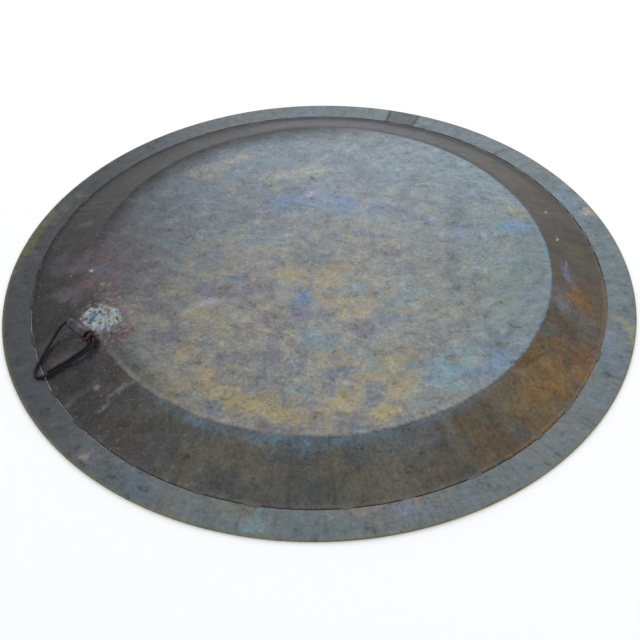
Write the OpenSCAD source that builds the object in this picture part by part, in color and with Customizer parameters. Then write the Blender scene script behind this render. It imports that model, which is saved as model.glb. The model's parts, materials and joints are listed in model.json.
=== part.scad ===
// Tam-tam gong: a raised and crowned bronze shell, stitch-welded into a flat rim ring, hung by a
// thong that runs through the rolled eye of a brazed lug.
// The gong lies on its rim: Z is its axis, with the struck face up, and +Y points at the lug.

/* [Rim ring] */
// Outside diameter of the rim ring
rim_d = 914; // [860:1:1120]
// Width of the flat rim ring
rim_w = 39; // [30:0.5:50]
// Thickness of the bronze sheet, ring and shell alike
sheet_t = 2.5; // [1.8:0.1:3.2]
// Chamfer on the ring's outer edge
edge_chamfer = 0.5; // [0.2:0.1:0.8]
// Length of the piece that closes the ring, along its outer edge
closing_l = 52; // [30:1:80]
// Where the closing piece sits, as an angle round from the lug
closing_angle = 223; // [120:1:240]
// Width of the weld at each end of the closing piece
closing_weld_w = 2; // [1:0.1:3]

/* [Shell] */
// Diameter of the struck face, at its shoulder
face_d = 670; // [550:1:700]
// Height of the face's edge above the floor
face_h = 31; // [24:0.5:40]
// Rise of the face from its edge to its middle
face_crown = 3; // [1:0.5:8]
// Outside radius of the shoulder between face and wall
shoulder_r = 16; // [8:1:22]
// Radius where the wall turns out into its foot
foot_fillet_r = 14; // [8:1:18]
// Width of the flat foot outside the wall
foot_lip_w = 5; // [4:0.5:8]

/* [Seam welds] */
// Width of the open seam between the shell's foot and the ring
seam_gap = 1.2; // [0.6:0.1:2]
// Number of stitch welds spread round the seam
spread_count = 25; // [18:1:30]
// Number of stitches in the run where they sit close together
close_count = 7; // [3:1:10]
// Angle from one close stitch to the next
close_pitch = 5.25; // [4:0.25:8]
// Where the close run starts, as an angle round from the lug
close_from = 158; // [145:1:170]
// Angle of seam left open just before the close run
open_run = 32; // [10:1:40]
// Mean length of a stitch weld
stitch_l = 17; // [8:1:24]
// Width of a stitch's dressed bead
bead_w = 5; // [3:0.5:8]
// Height of a stitch's dressed bead
bead_h = 0.4; // [0.2:0.1:1]

/* [Lug] */
// Distance of the eye's axis outside the shoulder
eye_out = 20; // [16:0.5:26]
// Turn of the lug away from the gong's radius
lug_skew = 22; // [0:1:30]
// Width of the lug strap, which is the length of its eye
strap_w = 36; // [26:1:44]
// Thickness of the lug strap
strap_t = 3; // [2:0.1:4]
// Length of the tail from the eye's axis to its end
tail_l = 48; // [38:1:56]
// Corner radius of the tail's end
tail_corner_r = 8; // [3:0.5:12]
// Bore of the rolled eye
eye_bore_d = 7.4; // [6:0.1:8.4]
// Gap left where the rolled eye closes on its strap
eye_slit = 0.8; // [0.4:0.1:1.2]

/* [Hanging loop] */
// Diameter of the leather thong
cord_d = 4; // [3:0.1:4.6]
// Space between the swinging knot and the shell
swing_clear = 0.6; // [0.3:0.1:2]
// Space between the knot and the end of the eye
knot_gap = 0.5; // [0.3:0.1:2]

/* [Hidden] */
$fn = 180;

bronze = "#7d8075";
ring_bronze = "#7f8880";
weld_bronze = "#6f7068";
lug_bronze = "#5c5560";
braze_crust = "#b4c6c8";
leather = "#2a1d1a";

// ---- rim and seam ----
rim_r = rim_d / 2;
ring_in_r = rim_r - rim_w;
foot_r = ring_in_r - seam_gap;
closing_sweep = closing_l / rim_r * 180 / PI;
weld_sweep = closing_weld_w / rim_r * 180 / PI;
closing_start = 90 + closing_angle - closing_sweep / 2;

// Shares of its pitch and its length by which a stitch wanders
place_wander = 0.14;
length_wander = 0.3;

// ---- the shell's meridian: crown, shoulder, wall, foot fillet, foot ----
face_r = face_d / 2;
foot_corner_r = foot_r - foot_lip_w;
wall_a = atan2(face_h - sheet_t, foot_corner_r - face_r);
wall_out = [sin(wall_a), cos(wall_a)];
wall_down = [cos(wall_a), -sin(wall_a)];
crown_r = (pow(face_r, 2) + pow(face_crown, 2)) / (2 * face_crown);
crown_c = [0, face_h + face_crown - crown_r];
foot_c = [foot_corner_r + foot_fillet_r * tan(wall_a / 2), sheet_t + foot_fillet_r];
// The shoulder's centre lies one shoulder radius inside the wall line, and inside the crown too.
shoulder_base = [face_r, face_h] - shoulder_r * wall_out - crown_c;
shoulder_b = shoulder_base * wall_down;
shoulder_s = -shoulder_b
    - sqrt(pow(shoulder_b, 2) - shoulder_base * shoulder_base + pow(crown_r - shoulder_r, 2));
shoulder_c = crown_c + shoulder_base + shoulder_s * wall_down;
crown_a = atan2(shoulder_c[0], shoulder_c[1] - crown_c[1]);
crown_chords = 10;
bend_chords = 6;

// Points along an arc, from one angle off the Z axis to another
function arc_points(centre, r, from, to, chords) =
    [for (i = [0 : chords]) let (a = from + (to - from) * i / chords)
        centre + r * [sin(a), cos(a)]];

// Height of the outer wall at radius r
function wall_z(r) = sheet_t + (foot_corner_r - r) * tan(wall_a);

// Height of the outer crown at radius r
function crown_z(r) = crown_c[1] + sqrt(pow(crown_r, 2) - pow(r, 2));

// ---- lug and hinge: u runs outwards along the lug, v along the eye, from the eye's middle ----
eye_r = face_r + eye_out;
eye_or = eye_bore_d / 2 + strap_t;
knot_wrap = 1.4;
knot_or = knot_wrap * cord_d;
knot_l = 2 * cord_d;
knot_pitch = 0.8 * cord_d;
bight_tilt = 60;
u_dir = [cos(90 + lug_skew), sin(90 + lug_skew)];
v_dir = [cos(180 + lug_skew), sin(180 + lug_skew)];
function plan(u, v) = [0, eye_r] + u * u_dir + v * v_dir;
knot_v = strap_w / 2 + knot_gap;
knot_far_r = norm(plan(0, knot_v + knot_l));
hinge_z = wall_z(knot_far_r) + (max(knot_or, eye_or) + swing_clear) / cos(wall_a);

// Braze lumps along the lug's tail: u, v, footprint radius, height
BRAZE_LUMPS = [
    [-18, -14, 12, 5], [-16, 9, 12, 6], [-27, 22, 9, 4], [-30, -12, 12, 6], [-30, 2, 15, 8],
    [-34, 16, 14, 6], [-44, -8, 11, 5], [-47, 8, 13, 6], [-50, 21, 8, 3]
];

// The thong's route: u, v and the drop below the eye's axis
LOOP_ROUTE = [
    [0, 24, 0], [0, 18, 0], [0, 8, 0], [0, -4, 0], [0, -14, 0], [0, -18.5, 0],
    [1, -22, 0.3], [3.4, -25, 1.4], [7, -27.2, 3.4], [12, -28.6, 7], [20, -28.8, 13],
    [28, -28.2, 18.4], [36, -26.8, 22.8], [44, -24.6, 26], [52, -21.6, 28.4], [60, -17.8, 29.4],
    [67, -13.6, 29.6], [72.4, -9.4, 29.6], [75.6, -5, 29.6], [76.8, -0.5, 29.6],
    [75.4, 3.6, 29.6], [71.6, 6.8, 29.6], [66, 9.4, 29.2], [59, 12.6, 27.2], [51, 16.8, 24],
    [43, 21.2, 20.4], [35, 25.4, 16.4], [27.6, 29.4, 12], [20.6, 33, 8], [14, 35.6, 4.4],
    [8.4, 36.6, 2], [4, 35.4, 0.6], [1.2, 32.2, 0.1], [0, 28.4, 0], [0, 25, 0]
];
// The thong's tail, laid on top of the loop's lower leg
TAIL_ROUTE = [
    [3.6, 23.8, 0], [4.4, 26.8, -0.4], [6.4, 29.8, -0.6], [9.6, 31.6, 0.4], [13.4, 32.2, 2.2],
    [19.4, 30.4, 5], [26.4, 27, 8.8], [33.8, 23.1, 13.1], [41.8, 18.9, 17.1], [49.8, 14.5, 20.7],
    [57.8, 10.3, 23.9], [64.6, 7.2, 25.9]
];
CORD_SIDES = 10;

// ---------------------------------------------------------------- shell

// Everything below the shell's surface, lowered by off and cut level at base
module under_surface(off, base) {
    foot = arc_points(foot_c, -(foot_fillet_r + off), 0, wall_a, bend_chords);
    shoulder = arc_points(shoulder_c, shoulder_r - off, wall_a, crown_a, bend_chords);
    crown = arc_points(crown_c, crown_r - off, crown_a, 0, crown_chords);
    polygon(concat([[0, base], [foot_r, base], [foot_r, foot[0][1]]], foot,
                   shoulder, [for (i = [1 : crown_chords]) crown[i]]));
}

module gong_shell() {
    color(bronze) rotate_extrude() difference() {
        under_surface(0, 0);
        under_surface(sheet_t, -1);
    }
}

// The space under the shell's outer surface, which lug and braze are cut back to
module shell_envelope() {
    rotate_extrude() under_surface(0, -4 * face_h);
}

// ---------------------------------------------------------------- rim ring

module ring_section() {
    polygon([[ring_in_r, 0], [rim_r - edge_chamfer, 0], [rim_r, edge_chamfer],
             [rim_r, sheet_t - edge_chamfer], [rim_r - edge_chamfer, sheet_t],
             [ring_in_r, sheet_t]]);
}

module ring_arc(start, sweep) {
    rotate([0, 0, start]) rotate_extrude(angle = sweep) ring_section();
}

module rim_ring() {
    after = closing_start + closing_sweep + weld_sweep;
    color(ring_bronze) ring_arc(after, 360 - closing_sweep - 2 * weld_sweep);
}

module rim_closing_piece() {
    color(weld_bronze) ring_arc(closing_start, closing_sweep);
}

module closing_welds() {
    color(weld_bronze) {
        ring_arc(closing_start - weld_sweep, weld_sweep);
        ring_arc(closing_start + closing_sweep, weld_sweep);
    }
}

// A stitch fills the seam and stands a little over both sheets.
module stitch(mid, sweep) {
    seam_r = foot_r + seam_gap / 2;
    rotate([0, 0, mid - sweep / 2]) rotate_extrude(angle = sweep)
        polygon([[foot_r, 0], [ring_in_r, 0], [ring_in_r, sheet_t], [seam_r + bead_w / 2, sheet_t],
                 [seam_r + bead_w / 4, sheet_t + bead_h], [seam_r - bead_w / 4, sheet_t + bead_h],
                 [seam_r - bead_w / 2, sheet_t], [foot_r, sheet_t]]);
}

// Hand-spaced stitches: each one's place and length wander about the mean. A close run follows the
// stretch of seam that is left open, and the rest are spread round what is left.
module seam_welds() {
    close_end = 90 + close_from + (close_count - 1) * close_pitch;
    spread_pitch = (360 - open_run - (close_count - 1) * close_pitch) / spread_count;
    color(weld_bronze) {
        for (k = [1 : spread_count])
            wandering_stitch(k, close_end, spread_pitch);
        for (k = [0 : close_count - 1])
            wandering_stitch(k, 90 + close_from, close_pitch);
    }
}

// The k-th stitch of a run, a little off its even place and its mean length
module wandering_stitch(k, start, pitch) {
    length = stitch_l * (1 + length_wander * sin(137 * k));
    stitch(start + (k + place_wander * sin(222 * k)) * pitch, length / foot_r * 180 / PI);
}

// ---------------------------------------------------------------- lug

// Places what is drawn in the lug's own axes: u as X, v as Y, with Z up from the eye's axis
module at_lug() {
    translate([0, eye_r, hinge_z]) rotate([0, 0, 90 + lug_skew]) children();
}

// Cylinder along the eye's axis
module along_eye(r, from, to) {
    translate([0, from, 0]) rotate([-90, 0, 0]) cylinder(r = r, h = to - from);
}

// Side view of the strap: tail, and the eye that it is rolled into
module strap_profile() {
    tail_top = crown_z(face_r) + strap_t - hinge_z;
    difference() {
        union() {
            circle(eye_or);
            translate([-tail_l, tail_top - 2 * strap_t]) square([tail_l, 2 * strap_t]);
        }
        circle(eye_bore_d / 2);
        translate([-eye_or, tail_top - 2 * strap_t - eye_or]) square([eye_or, eye_or + strap_t]);
    }
    // the rolled end, which stops short of the strap
    difference() {
        circle(eye_or);
        circle(eye_bore_d / 2);
        translate([-2 * eye_or, tail_top - strap_t - eye_slit]) square([2 * eye_or, 4 * eye_or]);
    }
}

// Plan of the strap, with its tail's corners rounded
module strap_plan() {
    half = strap_w / 2 - tail_corner_r;
    translate([tail_corner_r - tail_l, -strap_w / 2]) square([tail_l + eye_or, strap_w]);
    translate([-tail_l, -half]) square([tail_l, 2 * half]);
    for (side = [-half, half]) translate([tail_corner_r - tail_l, side]) circle(tail_corner_r);
}

module strap_body() {
    at_lug() intersection() {
        translate([0, strap_w / 2, 0]) rotate([90, 0, 0])
            linear_extrude(strap_w) strap_profile();
        translate([0, 0, -4 * eye_or]) linear_extrude(8 * eye_or) strap_plan();
    }
}

module lug_strap() {
    color(lug_bronze) difference() {
        strap_body();
        shell_envelope();
    }
}

// A low spherical lump that stands on the face or on the wall below it
module braze_lump(u, v, foot, height) {
    r = norm(plan(u, v));
    ball = (pow(foot, 2) + pow(height, 2)) / (2 * height);
    ground = min(crown_z(r), wall_z(r)) - hinge_z;
    translate([u, v, ground + height - ball]) sphere(ball);
}

module lug_braze() {
    color(braze_crust) difference() {
        at_lug() difference() {
            for (lump = BRAZE_LUMPS) braze_lump(lump[0], lump[1], lump[2], lump[3]);
            along_eye(eye_or + swing_clear, -2 * strap_w, 2 * strap_w);
        }
        strap_body();
        shell_envelope();
    }
}

// ---------------------------------------------------------------- hanging loop

function unit(v) = v / norm(v);

// Direction of a route at its point i
function heading(route, i) =
    unit(route[min(i + 1, len(route) - 1)] - route[max(i - 1, 0)]);

// Ring of points round a route's point i
function ring_at(route, i, r) =
    let (ahead = heading(route, i),
         side = unit(cross(ahead, [0, 0, 1])),
         top = cross(side, ahead))
    [for (k = [0 : CORD_SIDES - 1])
        route[i] + r * (cos(360 * k / CORD_SIDES) * side + sin(360 * k / CORD_SIDES) * top)];

// Round tube swept along a route, given as u, v and drop
module thong(route, r) {
    path = [for (p = route) [p[0], p[1], -p[2]]];
    last = len(path) - 1;
    points = [for (i = [0 : last]) each ring_at(path, i, r)];
    sides = [for (i = [0 : last - 1]) for (k = [0 : CORD_SIDES - 1])
        let (next = (k + 1) % CORD_SIDES)
        [i * CORD_SIDES + k, (i + 1) * CORD_SIDES + k,
         (i + 1) * CORD_SIDES + next, i * CORD_SIDES + next]];
    start = [for (k = [0 : CORD_SIDES - 1]) k];
    end = [for (k = [CORD_SIDES - 1 : -1 : 0]) last * CORD_SIDES + k];
    polyhedron(points, concat([start], sides, [end]));
}

module hanging_loop() {
    color(leather) at_lug() thong(LOOP_ROUTE, cord_d / 2);
}

module loop_tail() {
    color(leather) at_lug() thong(TAIL_ROUTE, cord_d / 2);
}

// A round turn of thong, about the eye's axis
module knot_turn(turn_r) {
    rotate([-90, 0, 0]) rotate_extrude($fn = 32)
        translate([turn_r, 0]) circle(cord_d / 2, $fn = 24);
}

// Two turns pulled tight round the thong, and the bight that they trap beside it
module loop_knot() {
    turn_r = knot_or - cord_d / 2;
    color(leather) at_lug() {
        for (turn = [0, 1])
            translate([0, knot_v + cord_d / 2 + turn * knot_pitch, 0]) knot_turn(turn_r);
        translate([2 * turn_r, knot_v + cord_d / 2 + turn_r * sin(bight_tilt), cord_d / 2])
            rotate([bight_tilt, 0, 0]) knot_turn(turn_r);
    }
}

gong_shell();
rim_ring();
rim_closing_piece();
closing_welds();
seam_welds();
lug_strap();
lug_braze();
hanging_loop();
loop_tail();
loop_knot();
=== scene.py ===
import json
import math

import bpy
import numpy as np
from mathutils import Matrix, Vector


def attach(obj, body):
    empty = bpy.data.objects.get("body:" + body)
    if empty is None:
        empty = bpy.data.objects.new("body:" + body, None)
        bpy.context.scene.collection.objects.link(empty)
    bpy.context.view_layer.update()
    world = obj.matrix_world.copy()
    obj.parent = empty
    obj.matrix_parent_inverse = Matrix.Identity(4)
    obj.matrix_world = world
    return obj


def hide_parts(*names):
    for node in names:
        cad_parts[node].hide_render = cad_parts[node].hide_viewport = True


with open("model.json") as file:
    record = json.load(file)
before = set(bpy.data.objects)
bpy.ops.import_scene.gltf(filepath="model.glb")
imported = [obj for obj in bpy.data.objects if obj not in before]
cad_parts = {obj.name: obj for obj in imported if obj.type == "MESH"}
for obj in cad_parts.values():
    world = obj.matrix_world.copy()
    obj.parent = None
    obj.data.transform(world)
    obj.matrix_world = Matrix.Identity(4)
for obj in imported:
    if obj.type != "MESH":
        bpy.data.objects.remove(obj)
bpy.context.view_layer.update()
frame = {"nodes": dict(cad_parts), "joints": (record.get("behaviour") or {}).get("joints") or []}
print("frame loaded")

# ---- camera ----
# planAngle runs from +X round to the camera's side, and forward and right say where it aims, in metres.
# A plan turn of 90 - planAngle brings the gong into its own lie: X to the right, Y away from the viewer.
lookFrom = {"planAngle": 154.44, "elevation": 45.1, "roll": 1.24, "distance": 1.1425,
            "forward": 0.1141, "right": 0.0011, "aimHeight": 0.0025, "lens": 46.1}
lieTurn = math.radians(270 - lookFrom["planAngle"])


def addObject(name, data):
    thing = bpy.data.objects.new(name, data)
    bpy.context.scene.collection.objects.link(thing)
    return thing


def makeCamera(look):
    plan, rise, roll = (math.radians(look[k]) for k in ("planAngle", "elevation", "roll"))
    towards = Vector((math.cos(plan), math.sin(plan), 0))
    right = Vector((-math.sin(plan), math.cos(plan), 0))
    back = towards * math.cos(rise) + Vector((0, 0, math.sin(rise)))
    up = back.cross(right)
    rolledRight = right * math.cos(roll) - up * math.sin(roll)
    rolledUp = right * math.sin(roll) + up * math.cos(roll)
    aim = towards * look["forward"] + right * look["right"] + Vector((0, 0, look["aimHeight"]))
    data = bpy.data.cameras.new("camera")
    data.lens = look["lens"]
    data.sensor_width = 36
    data.clip_start = 0.01
    camera = addObject("camera", data)
    axes = Matrix((rolledRight, rolledUp, back)).transposed().to_4x4()
    camera.matrix_world = Matrix.Translation(aim + back * look["distance"]) @ axes
    bpy.context.scene.camera = camera


makeCamera(lookFrom)
print("camera set")


# ---- surfaces ----
def gridParts(points, poles, first=0):
    # Vertices and faces of a grid of points whose rows run round, each end row closed by a fan of
    # triangles to its pole
    rows, columns = points.shape[:2]
    count = first + rows * columns
    index = np.arange(first, count).reshape(rows, columns)
    ahead = np.roll(index, -1, axis=1)
    quads = np.stack([index[:-1], index[1:], ahead[1:], ahead[:-1]], -1).reshape(-1, 4)
    start = np.stack([np.full(columns, count), index[0], ahead[0]], -1)
    end = np.stack([ahead[-1], index[-1], np.full(columns, count + 1)], -1)
    return np.concatenate([points.reshape(-1, 3), np.array(poles, float)]), [quads, start, end]


def carryRound(radius, height, turn):
    # Points from their radius, height and angle round the gong's axis
    return np.stack([radius * np.cos(turn), radius * np.sin(turn), height], -1)


def unitRows(vectors):
    return vectors / np.linalg.norm(vectors, axis=-1, keepdims=True)


def tubeRing(ahead, reference, turn):
    # Unit vectors all round each point of a path, square to the way ahead
    side = unitRows(np.cross(ahead, reference))
    top = np.cross(side, ahead)
    return np.cos(turn)[..., None] * side[:, None] + np.sin(turn)[..., None] * top[:, None]


def makePiece(name, parts, body, replaces, materials, faceMaterial=None):
    # One mesh from the parts, with its faces turned outwards, riding on a CAD body
    mesh = bpy.data.meshes.new(name)
    vertices = np.concatenate([p[0] for p in parts])
    faces = [f for p in parts for f in p[1]]
    triangles = np.concatenate([f[:, [0, 1, 2]] for f in faces]
                               + [f[:, [0, 2, 3]] for f in faces if f.shape[1] == 4])
    a, b, c = (vertices[triangles[:, k]] for k in range(3))
    if np.einsum("ij,ij->i", a, np.cross(b, c)).sum() < 0:
        faces = [f[:, ::-1] for f in faces]
    mesh.from_pydata(vertices, [], [face for f in faces for face in f.tolist()])
    for material in materials:
        mesh.materials.append(material)
    if faceMaterial:
        mesh.polygons.foreach_set("material_index", faceMaterial(mesh))
    mesh.polygons.foreach_set("use_smooth", np.full(len(mesh.polygons), True))
    mesh.validate()
    piece = addObject(name, mesh)
    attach(piece, body)
    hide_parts(*replaces)
    return piece


def waves(x, y, longest, shortest, seed, count=40):
    # A smooth random field of about -1 to 1: the mean of plane waves of many headings and lengths
    draw = np.random.default_rng(seed)
    heading = draw.uniform(0, 2 * np.pi, count)
    rate = 2 * np.pi / draw.uniform(shortest, longest, count)
    phase = draw.uniform(0, 2 * np.pi, count)
    field = np.zeros(np.broadcast(x, y).shape)
    for h, k, p in zip(heading, rate, phase):
        field += np.cos(k * (x * np.cos(h) + y * np.sin(h)) + p)
    return field * 1.6 / np.sqrt(count)


def smoothStep(value, low, high):
    t = np.clip((value - low) / (high - low), 0, 1)
    return t * t * (3 - 2 * t)


def splinePath(points, perSpan=8):
    # Catmull-Rom curve through the points, each span cut into equal steps
    p = np.concatenate([2 * points[:1] - points[1:2], points, 2 * points[-1:] - points[-2:-1]])
    t = np.arange(perSpan)[None, :, None] / perSpan
    a, b, c, d = (p[k:len(p) - 3 + k, None] for k in range(4))
    spans = 0.5 * (2 * b + (c - a) * t + (2 * a - 5 * b + 4 * c - d) * t**2
                   + (3 * b - a - 3 * c + d) * t**3)
    return np.concatenate([spans.reshape(-1, 3), points[-1:]])


def tubeParts(path, radius, sides, reference, first=0, ridges=0.0, twist=0.0, strands=3):
    # A tube along the path, on axes square to it and to a reference direction. Its radius swells and
    # dips strands times round, turning by twist radians a metre, and its ends are drawn in to a dome.
    along = np.concatenate([[0], np.cumsum(np.linalg.norm(np.diff(path, axis=0), axis=1))])
    fromEnd = np.minimum(along, along[-1] - along)
    dome = np.sqrt(np.clip(1 - (1 - np.clip(fromEnd / (0.8 * radius), 0, 1))**2, 0.04, 1))
    turn = np.linspace(0, 2 * np.pi, sides, endpoint=False)
    around, run = np.meshgrid(turn, along)
    swell = 1 + ridges * np.cos(strands * around - twist * run)
    swell += 0.5 * ridges * waves(run, around * radius, 0.03, 0.006, 3, 12)
    reach = (radius * swell * dome[:, None])[..., None]
    ring = tubeRing(unitRows(np.gradient(path, axis=0)), reference, around)
    return gridParts(path[:, None] + reach * ring, (path[0], path[-1]), first)


# ---- materials: small builders ----
def place(tree, kind, inputs=None, **settings):
    # A node with its settings, and its inputs as values or as sockets to link
    node = tree.nodes.new(kind)
    for key, value in settings.items():
        setattr(node, key, value)
    for key, value in (inputs or {}).items():
        if isinstance(value, bpy.types.NodeSocket):
            tree.links.new(value, node.inputs[key])
        else:
            node.inputs[key].default_value = value
    return node


def maths(tree, operation, *values, clamp=False):
    return place(tree, "ShaderNodeMath", dict(enumerate(values)), operation=operation,
                 use_clamp=clamp).outputs[0]


def times(tree, first, second, clamp=False):
    return maths(tree, "MULTIPLY", first, second, clamp=clamp)


def nudged(tree, value, field, amount):
    # A value pushed up and down by a field of 0 to 1
    return maths(tree, "ADD", value, times(tree, maths(tree, "SUBTRACT", field, 0.5), amount))


def vectorMaths(tree, operation, *values):
    return place(tree, "ShaderNodeVectorMath", dict(enumerate(values)), operation=operation).outputs


def moved(tree, vector, x, y):
    # The same coordinates taken from elsewhere in the noise
    return vectorMaths(tree, "ADD", vector, (x, y, 0))[0]


def flatten(tree, vector):
    return vectorMaths(tree, "MULTIPLY", vector, (1, 1, 0))[0]


def drawOut(tree, vector, scale, turn=0.0):
    # Coordinates turned, then stretched or squeezed along each axis
    return place(tree, "ShaderNodeMapping", {"Vector": vector, "Rotation": (0, 0, turn),
                                             "Scale": scale}).outputs[0]


def apartFrom(tree, vector):
    return place(tree, "ShaderNodeSeparateXYZ", {0: vector}).outputs


def step(tree, value, low, high, to=1.0):
    # A smooth rise from 0 at low to the value of to at high
    return place(tree, "ShaderNodeMapRange", {"Value": value, "From Min": low, "From Max": high,
                                              "To Max": to}, interpolation_type="SMOOTHSTEP").outputs[0]


def tint(tree, amount, below, above):
    node = place(tree, "ShaderNodeMix", {0: amount}, data_type="RGBA")
    for socket, value in ((6, below), (7, above)):
        if isinstance(value, bpy.types.NodeSocket):
            tree.links.new(value, node.inputs[socket])
        else:
            node.inputs[socket].default_value = (*value, 1)
    return node.outputs[2]


def tintEach(tree, colour, rows):
    # Tints a colour in turn: each row is a value, where it starts and ends, how much, and a colour
    for value, low, high, share, added in rows:
        colour = tint(tree, step(tree, value, low, high, share), colour, added)
    return colour


def ramp(tree, value, stops):
    # Colours along a value, from the first stop to the last
    node = place(tree, "ShaderNodeValToRGB", {"Fac": value})
    elements = node.color_ramp.elements
    while len(elements) < len(stops):
        elements.new(0.5)
    for element, (at, colour) in zip(elements, stops):
        element.position = at
        element.color = (*colour, 1)
    return node.outputs[0]


def ratedNoise(tree, vector, rate, detail, rough=0.5, warp=0.0):
    # Noise of so many features a unit: its value and its colour
    return place(tree, "ShaderNodeTexNoise", {"Vector": vector, "Scale": rate, "Detail": detail,
                                              "Roughness": rough, "Distortion": warp}).outputs


def noise(tree, vector, size, detail=3, rough=0.55, warp=0.0):
    # Noise whose features are about size metres across
    return ratedNoise(tree, vector, 1 / size, detail, rough, warp)["Fac"]


def newGroup(name, inputs, outputs):
    # Inputs are names, socket kinds and values, and None leaves a value as it is
    tree = bpy.data.node_groups.new(name, "ShaderNodeTree")
    for label, kind, value in inputs:
        socket = tree.interface.new_socket(label, in_out="INPUT", socket_type="NodeSocket" + kind)
        if value is not None:
            socket.default_value = value
    for label, kind in outputs:
        tree.interface.new_socket(label, in_out="OUTPUT", socket_type="NodeSocket" + kind)
    return tree, tree.nodes.new("NodeGroupInput").outputs, tree.nodes.new("NodeGroupOutput").inputs


def useGroup(tree, group, inputs):
    return place(tree, "ShaderNodeGroup", inputs, node_tree=group).outputs


def newMaterial(name, roughness, metallic):
    material = bpy.data.materials.new(name)
    material.use_nodes = True
    tree = material.node_tree
    shader = tree.nodes["Principled BSDF"]
    shader.inputs["Roughness"].default_value = roughness
    shader.inputs["Metallic"].default_value = metallic
    return material, tree, shader


def objectPlace(tree):
    return place(tree, "ShaderNodeTexCoord").outputs["Object"]


def grainyMaterial(name, roughness, metallic, size):
    # A material with its place on the object and the etched grain of the given size
    material, tree, shader = newMaterial(name, roughness, metallic)
    spot = objectPlace(tree)
    return material, tree, shader, spot, useGroup(tree, grainGroup, {"Vector": spot, "Size": size})


def lie(tree, vector):
    # The gong as it lies: X to the right of the viewer, Y away
    return drawOut(tree, vector, (1, 1, 1), lieTurn)


def finishSurface(tree, shader, colour, height, distance, strength, mottle=None, swing=0.0, least=0.0):
    # The colour, the bump and, where a mottle is given, a roughness that follows it
    tree.links.new(colour, shader.inputs["Base Color"])
    if mottle is not None:
        tree.links.new(maths(tree, "MULTIPLY_ADD", mottle, swing, least), shader.inputs["Roughness"])
    node = place(tree, "ShaderNodeBump", {"Height": height, "Distance": distance, "Strength": strength})
    tree.links.new(node.outputs[0], shader.inputs["Normal"])


# ---- shared effects ----
def makeBlotchGroup():
    # Lays a colour over another inside an ellipse. The mask is 1 minus the distance in ellipse sizes,
    # with a noise value added, so the stain breaks up into islands towards its edge.
    tree, given, out = newGroup("blotch", [
        ("Colour", "Color", None), ("Stain", "Color", None), ("Vector", "Vector", None),
        ("Centre", "Vector", None), ("Size", "Vector", None), ("Turn", "Vector", None),
        ("Break", "Float", 0.5), ("Strength", "Float", 1.0)], [("Colour", "Color")])
    apart = vectorMaths(tree, "SUBTRACT", given["Vector"], given["Centre"])[0]
    turned = place(tree, "ShaderNodeMapping", {"Vector": apart, "Rotation": given["Turn"]}).outputs[0]
    scaled = vectorMaths(tree, "DIVIDE", turned, given["Size"])[0]
    reach = vectorMaths(tree, "LENGTH", scaled)["Value"]
    inside = maths(tree, "MULTIPLY_ADD", maths(tree, "SUBTRACT", given["Break"], 0.5), 4.0,
                   maths(tree, "SUBTRACT", 0.9, reach))
    mask = times(tree, step(tree, inside, -0.1, 0.8), given["Strength"])
    tree.links.new(tint(tree, mask, given["Colour"], given["Stain"]), out["Colour"])
    return tree


def polarPlace(tree, vector):
    # Distance from an axis and the angle round it, in radians
    split = apartFrom(tree, vector)
    return (vectorMaths(tree, "LENGTH", flatten(tree, vector))["Value"],
            maths(tree, "ARCTAN2", split[1], split[0]))


def makePolarGroup():
    # Distance from the gong's axis, and coordinates that run round it: turns and radius
    tree, given, out = newGroup("polar", [("Vector", "Vector", None)],
                                [("Radius", "Float"), ("Around", "Vector")])
    radius, angle = polarPlace(tree, given["Vector"])
    turns = times(tree, angle, 1 / (2 * math.pi))
    height = apartFrom(tree, given["Vector"])[2]
    tree.links.new(radius, out["Radius"])
    tree.links.new(place(tree, "ShaderNodeCombineXYZ", {0: turns, 1: radius, 2: height}).outputs[0],
                   out["Around"])
    return tree


def makeGrainGroup():
    # Fine etched grain of aged bronze: a mottle of a few millimetres, with sparse pits in patches
    tree, given, out = newGroup("grain", [("Vector", "Vector", None), ("Size", "Float", 0.004)],
                                [("Mottle", "Float"), ("Pits", "Float"), ("Height", "Float")])
    spot, rate = given["Vector"], maths(tree, "DIVIDE", 1.0, given["Size"])
    coarse = ratedNoise(tree, spot, rate, 5, 0.7)["Fac"]
    cells = place(tree, "ShaderNodeTexVoronoi", {"Vector": spot,
                  "Scale": times(tree, rate, 0.55)}).outputs["Distance"]
    wide = ratedNoise(tree, spot, times(tree, rate, 0.08), 2)["Fac"]
    pits = times(tree, maths(tree, "SUBTRACT", 1.0, step(tree, cells, 0.02, 0.22)),
                 step(tree, wide, 0.48, 0.68))
    tree.links.new(coarse, out["Mottle"])
    tree.links.new(pits, out["Pits"])
    tree.links.new(maths(tree, "SUBTRACT", coarse, pits), out["Height"])
    return tree


def makeFleckGroup():
    # Flecks and strokes of patina: rough noise from centimetres down to parts of a millimetre and, over
    # coordinates that waves have bent, the same noise drawn out into strokes of two directions
    tree, given, out = newGroup("flecks", [("Vector", "Vector", None), ("Size", "Float", 0.006)],
                                [("Flecks", "Float"), ("Strokes", "Float")])
    spot, rate = given["Vector"], maths(tree, "DIVIDE", 1.0, given["Size"])
    bend = ratedNoise(tree, spot, 14.0, 3)["Color"]
    bent = vectorMaths(tree, "MULTIPLY_ADD", bend, (0.14, 0.14, 0), spot)[0]
    first, second = (ratedNoise(tree, drawOut(tree, bent, (0.3, 1, 1), turn), rate, 7, 0.8)["Fac"]
                     for turn in (0.35, -1.1))
    where = step(tree, ratedNoise(tree, spot, 22.0, 2)["Fac"], 0.42, 0.58)
    strokes = maths(tree, "ADD", first, times(tree, where, maths(tree, "SUBTRACT", second, first)))
    tree.links.new(ratedNoise(tree, spot, rate, 9, 0.85)["Fac"], out["Flecks"])
    tree.links.new(strokes, out["Strokes"])
    return tree


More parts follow.
